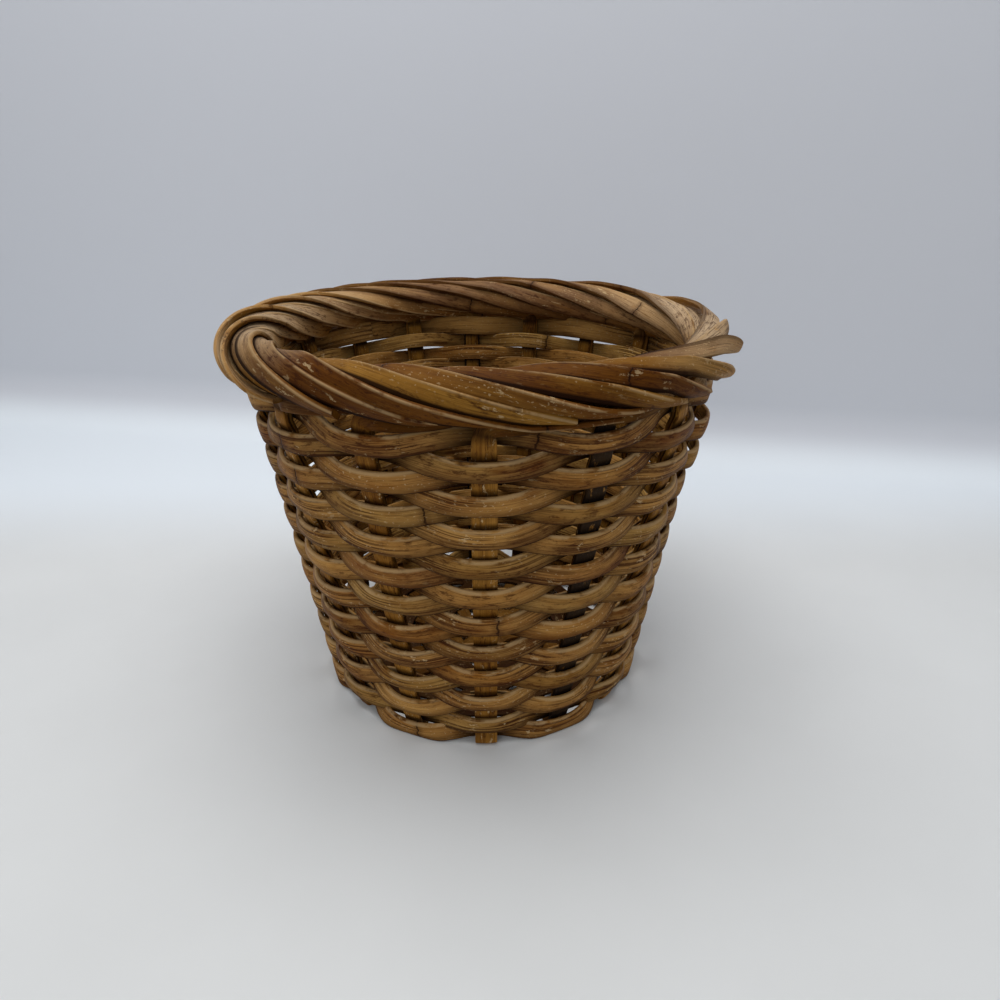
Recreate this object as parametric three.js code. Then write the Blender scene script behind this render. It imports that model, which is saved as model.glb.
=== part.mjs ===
// A round wicker basket planter, woven from split cane.
//
// Eight long splits cross in a plain-woven mat under the basket. Both ends of each
// one run out along the base, turn up at the foot, climb the flared wall as an
// upright and are laid over at the top into a rolled border. A by-stake stands
// against the inside of every upright and goes into the border beside it. Courses of
// split cane are woven in front of one upright and behind the next, each closed by
// pared ends that lie together behind an upright. Flatter rounds weave the base.
//
// Millimetres, +Z up. The origin is on the axis, on the surface it stands on. The
// front is towards -Y, and angles run from the front towards +X.

import * as THREE from 'three';

// Overall form
const basketHeight = 189.4; // floor to the top of the rolled border
const borderOuterRadius = 120; // axis to the outside of the rolled border
const footRadius = 79.9; // axis to the middle of the wall, at the floor
const wallTopRadius = 105.8; // axis to the middle of the wall, where the border starts
const clearance = 0.3; // air between pieces that lie against each other

// Long splits: the uprights, the base spokes and half the strands of the border
const splitsEachWay = 4; // splits in each direction of the mat
const splitThickness = 2.2;
const splitChamfer = 0.7; // how much narrower the outer face is, each side
const matWidth = 7; // width of a split across the base
const uprightWidths = [8.6, 10.4, 9.8, 9.2, 9, 9.4, 10, 8.8]; // on the wall, split by split

// By-stakes, the other half of the strands
const byStakeWidth = 7.4; // on the wall
const byStakeThickness = 2;
const byStakeFoot = 14; // height of its lower end

// Where the uprights stand: hand spacing, wider in front than behind
const frontUprightAngle = THREE.MathUtils.degToRad(2);
const spacingSwing = THREE.MathUtils.degToRad(7.4);
const spacingDrift = THREE.MathUtils.degToRad(1.2);

// Wall courses
const courseWidth = 8.2;
const courseThickness = 2.6;
const courseChamfer = 1.9; // how much narrower the outer face is, each side
const courseCrowding = 0.92; // least pitch, as a share of the width
const courseLean = THREE.MathUtils.degToRad(24); // shingle lean where two courses cross
const courseDip = 0.9; // drop in front of an upright, and rise behind one
const lowestDip = 1.6; // the same for the lowest course, which rides over the bends of the splits
const shoulderMargin = 1; // flat length past each side of an upright
const lapTail = 2; // length of a pared end past the upright

// Base rounds
const roundCount = 6;
const roundThickness = 1.8;
const roundGap = 0.5; // between neighbouring rounds
const roundEndGap = 1; // between the mat and the first round, and the last and the foot
const roundMargin = 1.2; // flat length past each side of a spoke
const matGap = 4; // between neighbouring splits of the mat
const matMargin = 0.5; // flat length past each side of a crossing
const matApron = 3; // straight length of a split past the mat
const footFlat = 4.6; // radial length of a split that lies on the floor
const footSlope = 1.5; // run of a split down to the foot, over its drop
const floorGap = 0.6; // under the lowest base round

// Rolled border
const strandWidth = 6.6; // width of a strand, on the side that shows
const rollRadius = 9.7; // roll's axis to the middle of a strand
const strandTurn = THREE.MathUtils.degToRad(82); // turn round the roll from one upright to the next
const strandSteps = 3; // stations from one upright to the next
const strandTilt = THREE.MathUtils.degToRad(14); // lifts each strand's upper edge, like a shingle
const strandEnd = THREE.MathUtils.degToRad(-35); // where a strand ends, below the roll's outside
const uprightEntry = THREE.MathUtils.degToRad(281); // where an upright meets the roll, under it
const byStakeEntry = uprightEntry - strandTurn / 2;
const entryReach = 0.22; // uprights passed by then
const entryRadius = 8.8; // the roll is this tight there
const borderGap = 2; // height between the wall and the roll

// Cane colours
const honeyCane = new THREE.Color(0x8a6234);
const russetCane = new THREE.Color(0x774c24);
const oliveCane = new THREE.Color(0x7c6030);
const blackenedCane = new THREE.Color(0x2b241f);

// Derived sizes
const uprightCount = 4 * splitsEachWay;
const turn = 2 * Math.PI;
const liftedEdge = new THREE.Vector2(splitThickness / 2, strandWidth / 2)
  .rotateAround(new THREE.Vector2(), -strandTilt);
const rollReach = Math.hypot(rollRadius + liftedEdge.x, liftedEdge.y);
const rollAxisRadius = borderOuterRadius - rollReach;
const rollAxisHeight = basketHeight - rollReach;
const wallTopHeight = rollAxisHeight - rollReach - borderGap / 2;
const wallLean = Math.atan2(wallTopRadius - footRadius, wallTopHeight);
const stackThickness = splitThickness + clearance + byStakeThickness;
const uprightOffset = (stackThickness - splitThickness) / 2;
const byStakeOffset = (byStakeThickness - stackThickness) / 2;
const courseOffset = stackThickness / 2 + clearance + courseThickness / 2;
const roundOffset = splitThickness / 2 + clearance + roundThickness / 2;
const baseHeight = splitThickness / 2 + clearance + roundThickness + floorGap;
const footOuter = footRadius + uprightOffset;
const footInner = footOuter - footFlat;
const riseRadius = footInner - (baseHeight - splitThickness / 2) * footSlope;
const matPitch = matWidth + matGap;
const matHalf = ((splitsEachWay - 1) / 2) * matPitch + matWidth / 2;
const fanStart = matHalf + matApron;

// The base rounds share the space between the mat's corners and the foot.
const roundSpace = riseRadius - Math.hypot(matHalf, matHalf) - 2 * roundEndGap;
const roundPitch = (roundSpace + roundGap) / roundCount;
const roundWidth = roundPitch - roundGap;
const lastRoundRadius = riseRadius - roundEndGap - roundWidth / 2;
const firstRoundRadius = lastRoundRadius - (roundCount - 1) * roundPitch;

// Upright number, whole or part, to its angle round the basket.
function uprightAngle(number) {
  const even = (turn * number) / uprightCount;
  return frontUprightAngle + even + spacingSwing * Math.sin(even) + spacingDrift * (1 - Math.cos(even));
}

const outwardAt = (angle) => new THREE.Vector3(Math.sin(angle), -Math.cos(angle), 0);
const roundAt = (angle) => new THREE.Vector3(Math.cos(angle), Math.sin(angle), 0);
const up = new THREE.Vector3(0, 0, 1);

// A point given by its angle, its distance from the axis and its height.
function pointAt(angle, radius, height) {
  return outwardAt(angle).multiplyScalar(radius).setZ(height);
}

const wallRadius = (height) => footRadius + height * Math.tan(wallLean);

// The wall's own outward normal and the direction straight up the wall.
function wallDirections(angle) {
  const out = outwardAt(angle);
  return {
    normal: out.clone().multiplyScalar(Math.cos(wallLean)).addScaledVector(up, -Math.sin(wallLean)),
    climb: out.clone().multiplyScalar(Math.sin(wallLean)).addScaledVector(up, Math.cos(wallLean)),
  };
}

// Sections, as [through the thickness, across the width], outer face positive.
function trapezoid(inner, outer, innerWidth, outerWidth) {
  return [[inner, -innerWidth / 2], [outer, -outerWidth / 2], [outer, outerWidth / 2], [inner, innerWidth / 2]];
}

function splitSection(width, thickness = splitThickness) {
  return trapezoid(-thickness / 2, thickness / 2, width, width - 2 * splitChamfer);
}

const courseOuterWidth = courseWidth - 2 * courseChamfer;
const courseSection = trapezoid(-courseThickness / 2, courseThickness / 2, courseWidth, courseOuterWidth);
const roundSection = trapezoid(-roundThickness / 2, roundThickness / 2, roundWidth, roundWidth);

// Where a course or a round closes, each of its ends is pared to one half of the thickness.
const parting = clearance / 2;
const middleWidth = courseWidth - courseChamfer;
const innerPared = trapezoid(-courseThickness / 2, -parting, courseWidth, middleWidth);
const outerPared = trapezoid(parting, courseThickness / 2, middleWidth, courseOuterWidth);
const lowerPared = trapezoid(-roundThickness / 2, -parting, roundWidth, roundWidth);
const upperPared = trapezoid(parting, roundThickness / 2, roundWidth, roundWidth);

// A solid strip along a run of stations. Each station has a point, a face direction
// that the outer face looks in, and a section. Bends are mitred, so the strip keeps
// its thickness through them.
function stripAlong(stations) {
  const sides = stations[0].section.length;
  const positions = [];
  stations.forEach((station, i) => {
    const before = i > 0 ? station.point.clone().sub(stations[i - 1].point).normalize() : null;
    const after = i < stations.length - 1
      ? stations[i + 1].point.clone().sub(station.point).normalize() : before;
    const into = before ?? after;
    const along = into.clone().add(after).normalize();
    const across = station.face.clone().cross(along).normalize();
    const outer = along.clone().cross(across).normalize();
    const bend = after.clone().sub(into);
    const stretch = 1 / along.dot(into) - 1;
    if (bend.length() > 1e-6) bend.normalize();
    for (const [depth, side] of station.section) {
      const offset = outer.clone().multiplyScalar(depth).addScaledVector(across, side);
      offset.addScaledVector(bend, offset.dot(bend) * stretch);
      positions.push(...offset.add(station.point).toArray());
    }
  });
  const index = [];
  for (let ring = 0; ring < stations.length - 1; ring += 1) {
    for (let side = 0; side < sides; side += 1) {
      const a = ring * sides + side;
      const b = ring * sides + ((side + 1) % sides);
      index.push(a, a + sides, b, b, a + sides, b + sides);
    }
  }
  const last = (stations.length - 1) * sides;
  for (let side = 1; side < sides - 1; side += 1) {
    index.push(0, side, side + 1, last, last + side + 1, last + side);
  }
  const geometry = new THREE.BufferGeometry();
  geometry.setAttribute('position', new THREE.Float32BufferAttribute(positions, 3));
  geometry.setIndex(index);
  geometry.computeVertexNormals();
  return geometry;
}

// The splits of the mat. The first way runs front to back and the other side to side.
// Each split has the numbers of the two uprights that its ends become.
const firstFront = -Math.floor((splitsEachWay - 1) / 2);
const matAngle = uprightAngle(firstFront + (splitsEachWay - 1) / 2);

function splitEnds(way, place) {
  const start = firstFront + place + way * splitsEachWay;
  const total = 2 * firstFront + 3 * splitsEachWay - 1 + way * 2 * splitsEachWay;
  return [start, total - start];
}

// Which split a numbered upright belongs to, counted through both ways.
const splitOfUpright = new Map();
for (let way = 0; way < 2; way += 1) {
  for (let place = 0; place < splitsEachWay; place += 1) {
    for (const end of splitEnds(way, place)) {
      splitOfUpright.set((end + uprightCount) % uprightCount, way * splitsEachWay + place);
    }
  }
}

function uprightWidth(number) {
  const split = splitOfUpright.get(((number % uprightCount) + uprightCount) % uprightCount);
  return uprightWidths[split % uprightWidths.length];
}

// Directions and offsets of one split across the mat. Each way's first end points
// along ahead, and side is how far the split lies from the mat's middle.
function matLine(way, place) {
  const ahead = outwardAt(matAngle + (way * Math.PI) / 2);
  const right = roundAt(matAngle + (way * Math.PI) / 2);
  return { ahead, right, side: (place - (splitsEachWay - 1) / 2) * matPitch };
}

// Where a spoke leaves the mat, and where it meets a circle round the axis.
function spokeLine(number) {
  const wrapped = ((number % uprightCount) + uprightCount) % uprightCount;
  const split = splitOfUpright.get(wrapped);
  const way = Math.floor(split / splitsEachWay);
  const place = split % splitsEachWay;
  const { ahead, right, side } = matLine(way, place);
  const nearEnd = (splitEnds(way, place)[0] + uprightCount) % uprightCount === wrapped;
  const start = ahead.clone().multiplyScalar(nearEnd ? fanStart : -fanStart).addScaledVector(right, side);
  const end = pointAt(uprightAngle(number), riseRadius, 0);
  return { start, end };
}

function spokeAtRadius(number, radius) {
  const { start, end } = spokeLine(number);
  const run = end.clone().sub(start);
  const a = run.lengthSq();
  const b = 2 * start.dot(run);
  const c = start.lengthSq() - radius * radius;
  return start.addScaledVector(run, (-b + Math.sqrt(b * b - 4 * a * c)) / (2 * a));
}

// A point of the border: uprights passed, distance out from the roll's axis and above it.
function borderPoint(number, reach, out, rise) {
  return pointAt(uprightAngle(number + reach), rollAxisRadius + out, rollAxisHeight + rise);
}

// The border strand of one upright or by-stake. It leans over from the top of the
// wall, passes the inside of the roll, goes over its top and ends below its outside.
function borderStrand(number, wallPoint, entry, thickness) {
  const section = splitSection(strandWidth, thickness);
  const wallOut = Math.hypot(wallPoint.x, wallPoint.y) - rollAxisRadius;
  const wallRise = wallPoint.z - rollAxisHeight;
  const entryOut = entryRadius * Math.cos(entry);
  const entryRise = entryRadius * Math.sin(entry);
  const stations = [];
  for (const [reach, riseShare] of [[0.04, 0.52], [0.12, 0.9]]) {
    const out = THREE.MathUtils.lerp(wallOut, entryOut, reach / entryReach);
    const rise = THREE.MathUtils.lerp(wallRise, entryRise, riseShare);
    stations.push({
      point: borderPoint(number, reach, out, rise),
      face: outwardAt(uprightAngle(number + reach)),
      section,
    });
  }
  const stepCount = Math.ceil(((entry - strandEnd) / strandTurn) * strandSteps - 0.2);
  for (let step = 0; step <= stepCount; step += 1) {
    const roll = Math.max(entry - (step * strandTurn) / strandSteps, strandEnd);
    const reach = entryReach + (entry - roll) / strandTurn;
    const radius = THREE.MathUtils.lerp(entryRadius, rollRadius, Math.min(step / 2, 1));
    const look = Math.min(roll, (roll + Math.PI) / 2) - strandTilt;
    const out = outwardAt(uprightAngle(number + reach));
    stations.push({
      point: borderPoint(number, reach, radius * Math.cos(roll), radius * Math.sin(roll)),
      face: out.multiplyScalar(-Math.cos(look)).addScaledVector(up, -Math.sin(look)),
      section,
    });
  }
  return stations;
}

// A point of the wall, offset from its middle along its own normal.
function wallPoint(angle, height, offset) {
  return pointAt(angle, wallRadius(height), height).addScaledVector(wallDirections(angle).normal, offset);
}

// The lowest wall course stands clear of the base and the highest clear of the border.
const lowestCourse = baseHeight + courseWidth / 2 + splitThickness / 2 + clearance - lowestDip;
const highestCourse = wallTopHeight - courseWidth / 2 - courseDip - clearance;

// One end of a split, from the edge of the mat to the tip of its border strand.
function splitEnd(number) {
  const angle = uprightAngle(number);
  const { normal } = wallDirections(angle);
  const down = up.clone().negate();
  const half = splitThickness / 2;
  const base = splitSection(matWidth);
  const wall = splitSection(uprightWidth(number));
  const top = wallPoint(angle, wallTopHeight, uprightOffset);
  return [
    { point: spokeLine(number).start.setZ(baseHeight), face: down, section: base },
    { point: pointAt(angle, riseRadius, baseHeight), face: down, section: base },
    { point: pointAt(angle, footInner, half), face: down, section: wall },
    { point: pointAt(angle, footOuter - half, half), face: down, section: wall },
    { point: wallPoint(angle, splitThickness, uprightOffset), face: normal, section: wall },
    { point: wallPoint(angle, highestCourse, uprightOffset), face: normal, section: wall },
    { point: top, face: normal, section: splitSection(strandWidth) },
    ...borderStrand(number, top, uprightEntry, splitThickness),
  ];
}

function byStake(number) {
  const angle = uprightAngle(number);
  const { normal } = wallDirections(angle);
  const wall = splitSection(byStakeWidth, byStakeThickness);
  const top = wallPoint(angle, wallTopHeight, byStakeOffset);
  return stripAlong([
    { point: wallPoint(angle, byStakeFoot, byStakeOffset), face: normal, section: wall },
    { point: wallPoint(angle, highestCourse, byStakeOffset), face: normal, section: wall },
    { point: top, face: normal, section: splitSection(strandWidth, byStakeThickness) },
    ...borderStrand(number, top, byStakeEntry, byStakeThickness),
  ]);
}

// The stretch of a split that weaves over and under the other way's splits.
function matStretch(way, place) {
  const { ahead, right, side } = matLine(way, place);
  const lift = (splitThickness + clearance) / 2;
  const down = up.clone().negate();
  const stations = [];
  for (let crossing = 0; crossing < splitsEachWay; crossing += 1) {
    const distance = ((splitsEachWay - 1) / 2 - crossing) * matPitch;
    // The other way's split here has this place, counted from its own left.
    const other = way === 0 ? splitsEachWay - 1 - crossing : crossing;
    const first = way === 0 ? place : other;
    const second = way === 0 ? other : place;
    const over = (first + second) % 2 === way ? 1 : -1;
    for (const edge of [1, -1]) {
      stations.push({
        point: ahead.clone().multiplyScalar(distance + edge * (matWidth / 2 + matMargin))
          .addScaledVector(right, side).setZ(baseHeight + over * lift),
        face: down,
        section: splitSection(matWidth),
      });
    }
  }
  return stations;
}

function longSplit(way, place) {
  const [near, far] = splitEnds(way, place);
  return stripAlong([...splitEnd(near).reverse(), ...matStretch(way, place), ...splitEnd(far)]);
}

const courseCount = 1 + Math.floor((highestCourse - lowestCourse) / (courseWidth * courseCrowding));
const coursePitch = (highestCourse - lowestCourse) / (courseCount - 1);

// A station of a course beside an upright: tangential run, and -1 behind or 1 in front.
function courseStation(number, run, side, course, section = courseSection) {
  const angle = uprightAngle(number);
  const { normal, climb } = wallDirections(angle);
  const height = lowestCourse + course * coursePitch;
  const dip = course === 0 ? lowestDip : courseDip;
  return {
    point: wallPoint(angle, height, side * courseOffset)
      .addScaledVector(roundAt(angle), run)
      .addScaledVector(climb, -side * dip),
    face: normal,
    section,
  };
}

// Half way between two uprights, where the course changes sides and leans over.
function courseCrossing(number, course) {
  const angle = (uprightAngle(number) + uprightAngle(number + 1)) / 2;
  const { normal, climb } = wallDirections(angle);
  return {
    point: wallPoint(angle, lowestCourse + course * coursePitch, 0),
    face: normal.multiplyScalar(Math.cos(courseLean)).addScaledVector(climb, Math.sin(courseLean)),
    section: courseSection,
  };
}

function wallCourse(course) {
  const inFront = (number) => (number + course) % 2 !== 0;
  let lap = (course * 5 + 6) % uprightCount;
  if (inFront(lap)) lap += 1;
  const lapHalf = uprightWidth(lap) / 2 + lapTail;
  const shoulder = (number) => uprightWidth(number) / 2 + shoulderMargin;
  const stations = [
    courseStation(lap, -lapHalf, -1, course, innerPared),
    courseStation(lap, lapHalf, -1, course, innerPared),
  ];
  for (let step = 1; step < uprightCount; step += 1) {
    const number = lap + step;
    const side = inFront(number) ? 1 : -1;
    stations.push(courseCrossing(number - 1, course));
    stations.push(courseStation(number, -shoulder(number), side, course));
    stations.push(courseStation(number, shoulder(number), side, course));
  }
  stations.push(courseCrossing(lap - 1, course));
  stations.push(courseStation(lap, -lapHalf - clearance, -1, course, outerPared));
  stations.push(courseStation(lap, lapHalf, -1, course, outerPared));
  return stripAlong(stations);
}

// A station of a base round beside a spoke: -1 under it or 1 over it.
function roundStation(number, radius, run, side, section = roundSection) {
  const spoke = spokeAtRadius(number, radius);
  const angle = Math.atan2(spoke.x, -spoke.y);
  return {
    point: spoke.addScaledVector(roundAt(angle), run).setZ(baseHeight + side * roundOffset),
    face: up,
    section,
  };
}

function baseRound(round) {
  const radius = firstRoundRadius + round * roundPitch;
  const over = (number) => (number + round) % 2 !== 0;
  let lap = (round * 5 + 2) % uprightCount;
  if (!over(lap)) lap += 1;
  const half = matWidth / 2 + roundMargin;
  const stations = [
    roundStation(lap, radius, -half, 1, lowerPared),
    roundStation(lap, radius, half, 1, lowerPared),
  ];
  for (let step = 1; step < uprightCount; step += 1) {
    const side = over(lap + step) ? 1 : -1;
    stations.push(roundStation(lap + step, radius, -half, side));
    stations.push(roundStation(lap + step, radius, half, side));
  }
  stations.push(roundStation(lap, radius, -half - clearance, 1, upperPared));
  stations.push(roundStation(lap, radius, half, 1, upperPared));
  return stripAlong(stations);
}

// Every piece is its own mesh.
const basket = new THREE.Group();

function addPiece(name, geometry, color, roughness) {
  const material = new THREE.MeshStandardMaterial({ color, roughness, metalness: 0 });
  const mesh = new THREE.Mesh(geometry, material);
  mesh.name = name;
  basket.add(mesh);
}

const twoDigits = (number) => String(number).padStart(2, '0');
const blackenedSplit = splitOfUpright.get(1);
for (let way = 0; way < 2; way += 1) {
  for (let place = 0; place < splitsEachWay; place += 1) {
    const split = way * splitsEachWay + place;
    const color = split === blackenedSplit ? blackenedCane : russetCane;
    addPiece(`long_split_${split + 1}`, longSplit(way, place), color, 0.55);
  }
}

for (let number = 0; number < uprightCount; number += 1) {
  addPiece(`by_stake_${twoDigits(number + 1)}`, byStake(number), russetCane, 0.55);
}

for (let course = 0; course < courseCount; course += 1) {
  const color = course % 3 === 1 ? oliveCane : honeyCane;
  addPiece(`wall_course_${twoDigits(course + 1)}`, wallCourse(course), color, 0.45);
}

for (let round = 0; round < roundCount; round += 1) {
  addPiece(`base_round_${round + 1}`, baseRound(round), oliveCane, 0.6);
}

export default basket;
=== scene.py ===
"""A round wicker basket planter of split cane, dressed for its photograph.

Each piece of cane is modelled as a straight split with rounded edges, then bent along
the way that it takes through the basket: through the base, up the wall and round the
rolled border, or in and out of the uprights. The ways follow the same dimensions as
the solids of the frame. Metres, +Z up, the front towards -Y.
"""
import math

import bpy
import numpy as np
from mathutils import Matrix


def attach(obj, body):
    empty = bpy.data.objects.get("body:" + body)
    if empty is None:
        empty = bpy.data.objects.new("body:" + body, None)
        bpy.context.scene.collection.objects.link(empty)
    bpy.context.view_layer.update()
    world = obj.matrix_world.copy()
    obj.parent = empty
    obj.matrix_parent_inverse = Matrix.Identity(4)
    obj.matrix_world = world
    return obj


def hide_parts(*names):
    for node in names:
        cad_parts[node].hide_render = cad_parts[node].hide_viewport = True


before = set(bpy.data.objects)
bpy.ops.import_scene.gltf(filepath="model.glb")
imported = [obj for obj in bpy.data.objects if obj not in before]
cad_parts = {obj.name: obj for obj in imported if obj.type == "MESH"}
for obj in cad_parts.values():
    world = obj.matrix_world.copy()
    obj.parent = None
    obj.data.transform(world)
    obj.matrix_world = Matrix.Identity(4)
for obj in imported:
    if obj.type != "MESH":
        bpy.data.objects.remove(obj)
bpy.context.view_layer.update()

MM = 0.001
TURN = 2 * math.pi

# Overall form, as in the frame's solids
BASKET_HEIGHT = 189.4 * MM
BORDER_OUTER_RADIUS = 120 * MM
FOOT_RADIUS = 79.9 * MM
WALL_TOP_RADIUS = 105.8 * MM
CLEARANCE = 0.3 * MM

# Long splits and by-stakes
SPLITS_EACH_WAY = 4
UPRIGHTS = 4 * SPLITS_EACH_WAY
SPLIT_THICKNESS = 2.2 * MM
MAT_WIDTH = 7 * MM
UPRIGHT_WIDTHS = [8.6, 10.4, 9.8, 9.2, 9, 9.4, 10, 8.8]  # in millimetres, by long split
SPLIT_CROWN = 0.3  # how much thinner a strip is at its edges than in the middle
SPLIT_EDGE = 0.4 * MM
BY_STAKE_WIDTH = 7.4 * MM
BY_STAKE_THICKNESS = 2 * MM
BY_STAKE_FOOT = 14 * MM
FRONT_UPRIGHT = math.radians(2)
SPACING_SWING = math.radians(7.4)  # the uprights stand wider apart at the front
SPACING_DRIFT = math.radians(1.2)
UPRIGHT_WAVE = 0.55 * MM  # the uprights give a little between the courses
FOOT_BULGE = 3.4 * MM  # the front upright bends out over the lowest course
FOOT_BULGE_TOP = 12 * MM  # where it is back in the wall
GIVE_ABOVE = 3 * MM  # how far above the highest course the uprights stop giving

# Wall courses
COURSES = 21
COURSE_WIDTH = 8.6 * MM
COURSE_THICKNESS = 2.6 * MM
SOLID_COURSE_WIDTH = 8.2 * MM  # their width in the frame's solids, which sets how far up they go
BLANK_COURSE_WIDTH = 8.5 * MM
COURSE_EDGE = 0.5 * MM
COURSE_CROWN = 0.45
COURSE_BACK_CROWN = 0.1
COURSE_LEAN = math.radians(24)
COURSE_DIP = 0.9 * MM  # a course dips in front of an upright and rises behind one
LOWEST_COURSE = 6.5 * MM
LOWEST_COURSE_WIDTH = 8.8 * MM
LOWEST_COURSE_MIDDLE = 5 * MM
LOWEST_COURSE_RISE = 0.35 * MM
LOWEST_COURSE_BOW = 1.6 * MM
BEND_PUSH = 0.8 * MM  # how far the bends of the splits push the lowest course out
FRONT_BEND_PUSH = 2 * MM  # and how much more the front one does, over this many radians
FRONT_REACH = 0.2
SECOND_COURSE_DROP = (0.9 * MM, 0.3 * MM, 6 * MM)  # in all, more in front and more behind
HIGHEST_DIP = 1.9 * MM
HIGHEST_RAISE = 1 * MM
HELD_WANDER = 0.3  # how much the second and the highest course stray, where others have 1
DIP_SPREAD = 0.35 * MM  # how much the courses' dips differ
COURSE_WANDER = 0.6 * MM  # how far a course strays up and down
LEAN_WANDER = math.radians(4)
LAP_TAIL = 2 * MM
LAP_FADE = 0.12  # the part of the way between two uprights over which a lapped end is pared
PARED_AWAY = 0.55  # the share of the thickness that is pared away there
SIDE_BULGE = 4.5 * MM  # a few courses stand off the wall on the right, under the border
BULGE_HEIGHT = 138 * MM
BULGE_SPREAD = 12 * MM
BULGE_REACH = 0.12  # how far round it reaches, as a change of the sine
LAP_STEP = 5  # about how many uprights on from one course's lap the next one's is
FIRST_LAP = 6

# Base
ROUNDS = 6
ROUND_WIDTH = 6.8 * MM
ROUND_THICKNESS = 1.8 * MM
ROUND_EDGE = 0.45 * MM
ROUND_PITCH = 7.1 * MM
FIRST_ROUND_LAP = 2
MAT_GAP = 4 * MM
MAT_MARGIN = 0.5 * MM
MAT_APRON = 3 * MM
RISE_SLOPE = 1.5  # how far a spoke runs out for each part that it comes down to the foot
ROUND_MARGIN = 1 * MM
FOOT_FLAT = 4.6 * MM
FLOOR_GAP = 0.6 * MM

# Rolled border: strands overlap like shingles. They wind tightly at the front and left and
# slowly elsewhere. Most by-stakes' strands lie under the others, a few at the front beside
# them. Each strand differs a little from the next in width, place, tilt and winding
STRAND_WIDTH = 8 * MM
STRAND_THICKNESS = 2.6 * MM
ROLL_REACH = 11.7 * MM  # from the middle of the roll to its outside
ROLL_RADIUS = 9.4 * MM
CORE_RADIUS = 6.9 * MM
STRAND_TURN = math.radians(63)
TURN_SWING = math.radians(23)
TURN_CHANGE = 2.5
TIGHTEST = math.radians(-50)
SIDE_BY_SIDE = (12, 13, 14, 15)  # the by-stakes whose strands lie beside the others
WIDE_STRANDS = {8: 1.25, 9: 1.35, 10: 1.35, 11: 1.15}  # strands that hide the ones under them
STRAND_TILT = math.radians(20)
TILT_WANDER = math.radians(5)
STRAND_END = math.radians(-64)
END_SPREAD = math.radians(16)
STRAND_ENTRY = math.radians(277)
ENTRY_REACH = 0.22
ENTRY_RADIUS = 8.8 * MM
LEANING_OVER = ((0.02, 0.55), (0.1, 0.92))  # how far along and how far up, on the way there
SETTLE_REACH = 0.6  # how far a strand runs before it lies at its own radius
RADIUS_SPREAD = 0.5 * MM
RADIUS_WANDER = 0.6 * MM
ROW_SPREAD = math.radians(7)
ROW_WANDER = math.radians(4)
WIDTH_LEAST = 0.93
WIDTH_SPREAD = 0.14
WIDTH_WANDER = 0.08
TIP_ANGLE = math.radians(26)  # a hidden tip sinks in and narrows over this turn
TIP_SINK = 1.5 * MM
TIP_NARROWING = 0.35
FREE_ANGLE = math.radians(55)  # a strand that stands off does so over this turn
STRAND_STEP = 0.1  # how far it is along a strand from one station to the next, in uprights
BORDER_GAP = 2 * MM
TUCK_BEHIND = 0.25  # painted shade in the seams at the sides and back, where the front has 1
# Strands that end in full view, cut square, by upright and whether it is the by-stake's: where
# on the roll they end (in degrees), how far they stand off there, how many uprights they run on
# along the roll, where they start to turn down more steeply and how much, and their tip's width
SQUARE_CUT = {
    (13, True): {"end": -52, "stand_off": 0.3 * MM},
    (12, False): {"end": -72, "stand_off": 0.5 * MM, "run_on": 0.75},
    (11, False): {"end": -31, "stand_off": 0.6 * MM},
    (14, False): {"end": -42, "stand_off": 1.2 * MM, "curl": (18, 2), "tip": 0.9},
    (14, True): {"end": -46, "stand_off": 0.6 * MM, "curl": (14, 1.3), "tip": 0.9},
    (15, True): {"end": -62, "stand_off": 2.8 * MM, "curl": (42, 2.2), "tip": 0.85},
    (15, False): {"end": 4, "stand_off": 1.6 * MM, "curl": (50, 1.8), "tip": 0.6},
    (0, True): {"end": 40, "stand_off": 2.6 * MM, "curl": (66, 1.5), "tip": 0.6},
}

# How the ways are worked out, and how the looks change along the pieces
CORNER_CUTS = 3  # how often the corners of a way are cut to round them
TURN_STEPS = 40  # how finely the winding is added up, for each upright
FADE_HEIGHT = 4 * MM  # over which looks and give change at the foot and the top of the wall
FRONT_SHADE = 0.26  # how shaded the border's front is
BORDER_TONE = -0.7  # how bright the border is, and how much darker its front is painted, as shade
FRONT_TONE = 0.8
LEFT_END_TONE = 3.3
RIGHT_END_TONE = 3.4
END_FADE = 60 * MM  # how far back the painted light and the dust on the border's two ends fade
# The upper value picks the edge that is worn pale with a painted highlight; the other edge takes
# painted shade
UPPER_IN_BORDER = -0.85  # the upper value in the border, where the strips show their other face
HIDDEN_CORNER = 0.6  # how strong the edge marks are at the hidden face, where the one in view has 1
NARROW_SIDE = 0.97  # past this share of the half width a vertex is on the strip's edge
DUST_ANYWHERE = 0.3
DUST_FACING_UP = 0.7
NO_GROWTH_RING = 50 * MM
SPLIT_LOOKS = 30  # how many slow changes of colour a long split has, and a by-stake
BY_STAKE_LOOKS = 12
SPLIT_SEED = 31
FAR_END_SEED = 40
BY_STAKE_SEED = 71
ROUND_SEED = 101.0
GROWTH_SPACING = 0.34
COURSE_GROWTH_SPACING = 0.3
SMOOTH_BELOW = math.radians(40)

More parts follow.
